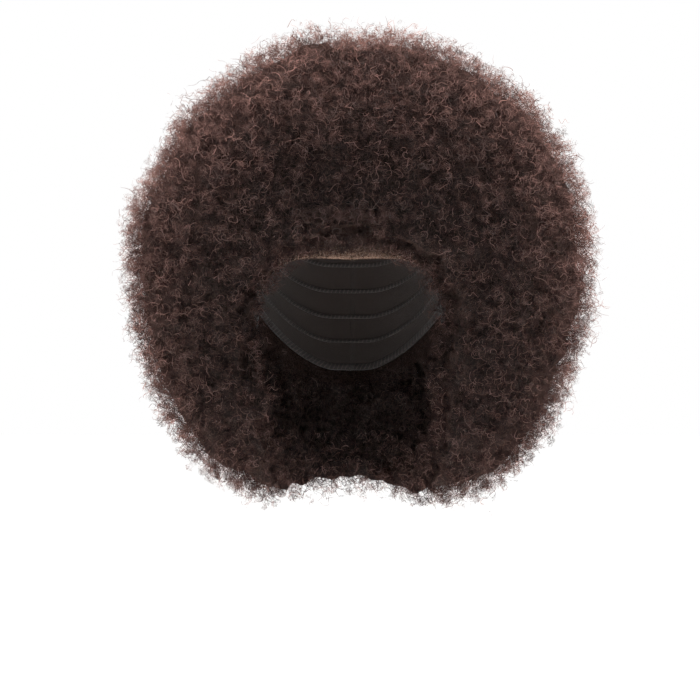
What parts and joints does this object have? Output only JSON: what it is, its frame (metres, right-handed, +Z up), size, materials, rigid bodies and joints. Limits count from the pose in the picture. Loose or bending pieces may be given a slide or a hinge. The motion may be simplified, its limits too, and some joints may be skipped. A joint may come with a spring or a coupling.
{
  "type": "afro wig",
  "caption": "Large round afro wig: tight curls in lock-covered sections on a hollow stretch cap, with a lace strip at the hairline.",
  "frame": {"origin": "inside of the cap's crown, where the top of the wearer's head touches it", "axes": "+Z up, -Y the way the wearer faces, +X towards the wearer's left"},
  "size_m": [0.3465, 0.3229, 0.3519],
  "materials": {
    "cap": "black stretch net",
    "lace": "sheer brown lace",
    "hair": "matte tight curls"
  },
  "bodies": {
    "root": {"wig_cap": "cap", "lace_front": "lace", "hair_fringe": "hair", "hair_crown": "hair", "hair_side_left": "hair", "hair_side_right": "hair", "hair_back": "hair", "hair_nape": "hair"}
  },
  "joints": []
}
